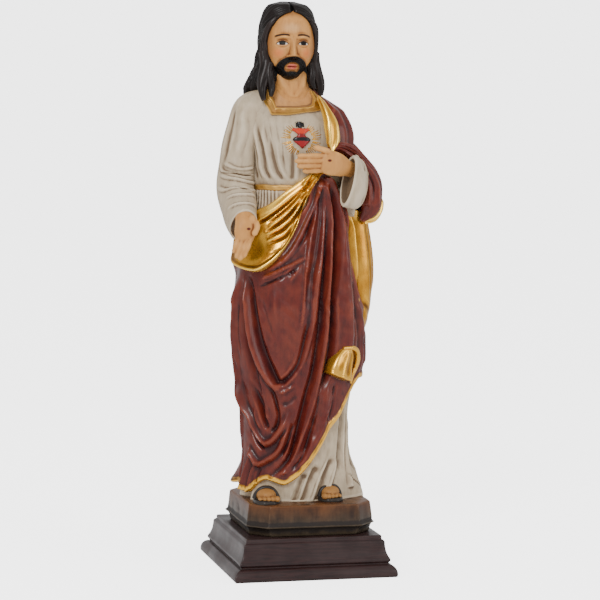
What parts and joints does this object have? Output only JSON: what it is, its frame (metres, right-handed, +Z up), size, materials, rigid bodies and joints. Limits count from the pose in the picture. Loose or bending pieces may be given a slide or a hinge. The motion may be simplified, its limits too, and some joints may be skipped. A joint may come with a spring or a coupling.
{
  "type": "sacred heart statue",
  "caption": "Standing robed figure with a heart on its breast, cast with an eight-sided plinth, on a square moulded wood base.",
  "frame": {"origin": "centre of the wood base's underside", "axes": "+Z up through the figure, -Y the way the figure faces, +X towards the figure's left hand"},
  "size_m": [0.0912, 0.0876, 0.3],
  "materials": {
    "cast_resin": "cast polyester resin under hand painting with a brown antique wash, satin",
    "dark_wood": "dark mahogany stain under a satin lacquer",
    "crimson_paint": "crimson brown paint with burgundy shading, satin varnish",
    "gold_paint": "burnished gold paint with a brown wash in the hollows",
    "cream_paint": "cream grey paint with a grey brown wash, matt",
    "flesh_paint": "flesh paint with a light brown wash, satin",
    "hair_paint": "near black brown paint, glossy",
    "red_paint": "bright red paint, glossy",
    "brown_paint": "brown paint, fading to dark grey olive low down, satin"
  },
  "bodies": {
    "root": {"figure": "cast_resin", "wood_base": "dark_wood"}
  },
  "joints": []
}
